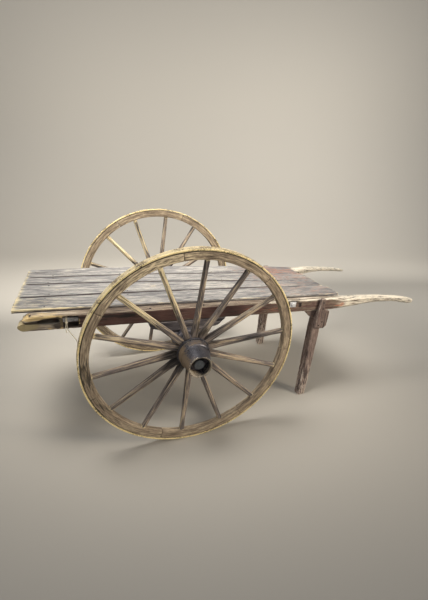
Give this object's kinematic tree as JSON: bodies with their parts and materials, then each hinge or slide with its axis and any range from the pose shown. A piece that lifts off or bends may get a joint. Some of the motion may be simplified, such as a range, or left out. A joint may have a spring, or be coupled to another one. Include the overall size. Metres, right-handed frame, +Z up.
{
  "type": "wooden hand cart",
  "caption": "Weathered hand cart: plank deck on long rails that run on into handles, cambered spoked wheels on an axle under the deck, and parking legs.",
  "frame": {"origin": "centre of the cart's box, on the ground that it stands on", "axes": "+X from the tail to the handles, +Y to the cart's right, +Z up"},
  "size_m": [2.648, 1.4476, 1.2403],
  "materials": {
    "weathered_board": "bare grey weathered planks with cream worn streaks and some red paint left",
    "painted_rail": "faded dark red paint with black patches over bleached timber",
    "dark_oak": "dark weathered timber",
    "leg_oak": "dark purple brown timber with flaking light patches",
    "wheel_oak": "warm grey brown timber, worn pale on the edges",
    "hub_iron": "dark worn iron with bronze tints",
    "tyre_iron": "light rust on a worn tread",
    "plate_iron": "pale grey weathered iron",
    "twine": "pale frayed twine"
  },
  "bodies": {
    "bed": {"rail_left": "painted_rail", "rail_right": "painted_rail", "deck_board_1": "weathered_board", "deck_board_2": "weathered_board", "deck_board_3": "weathered_board", "deck_board_4": "weathered_board", "cross_member_tail": "dark_oak", "cross_member_rear": "dark_oak", "cross_member_front": "dark_oak", "cross_member_head": "dark_oak", "saddle_left": "dark_oak", "saddle_right": "dark_oak", "axle_beam": "dark_oak", "axle_arm_left": "hub_iron", "axle_arm_right": "hub_iron", "axle_nut_left": "hub_iron", "axle_nut_right": "hub_iron", "leg_left": "leg_oak", "leg_right": "leg_oak", "leg_cleat_left": "leg_oak", "leg_cleat_right": "leg_oak", "leg_brace_left": "leg_oak", "leg_brace_right": "leg_oak", "lashing_bar_left": "plate_iron", "lashing_bar_right": "plate_iron", "rail_eye_plate": "plate_iron", "rail_staple": "plate_iron", "twine": "twine", "twine_tail": "twine", "twine_knot": "twine"},
    "wheel_left": {"tyre_left": "tyre_iron", "felloes_left": "wheel_oak", "spoked_nave_left": "wheel_oak", "nave_nose_left": "hub_iron", "nave_hoop_front_left": "hub_iron", "nave_hoop_back_left": "hub_iron", "nave_hoop_inner_left": "hub_iron"},
    "wheel_right": {"tyre_right": "tyre_iron", "felloes_right": "wheel_oak", "spoked_nave_right": "wheel_oak", "nave_nose_right": "hub_iron", "nave_hoop_front_right": "hub_iron", "nave_hoop_back_right": "hub_iron", "nave_hoop_inner_right": "hub_iron"}
  },
  "joints": [
    {"name": "wheel_left_spin", "type": "hinge", "parent": "bed", "child": "wheel_left", "pos_m": [-0.40643, -0.5705, 0.61909], "axis": [0, -0.9985, -0.0541], "continuous": true},
    {"name": "wheel_right_spin", "type": "hinge", "parent": "bed", "child": "wheel_right", "pos_m": [-0.40643, 0.5705, 0.61909], "axis": [0, 0.9985, -0.0541], "continuous": true}
  ]
}
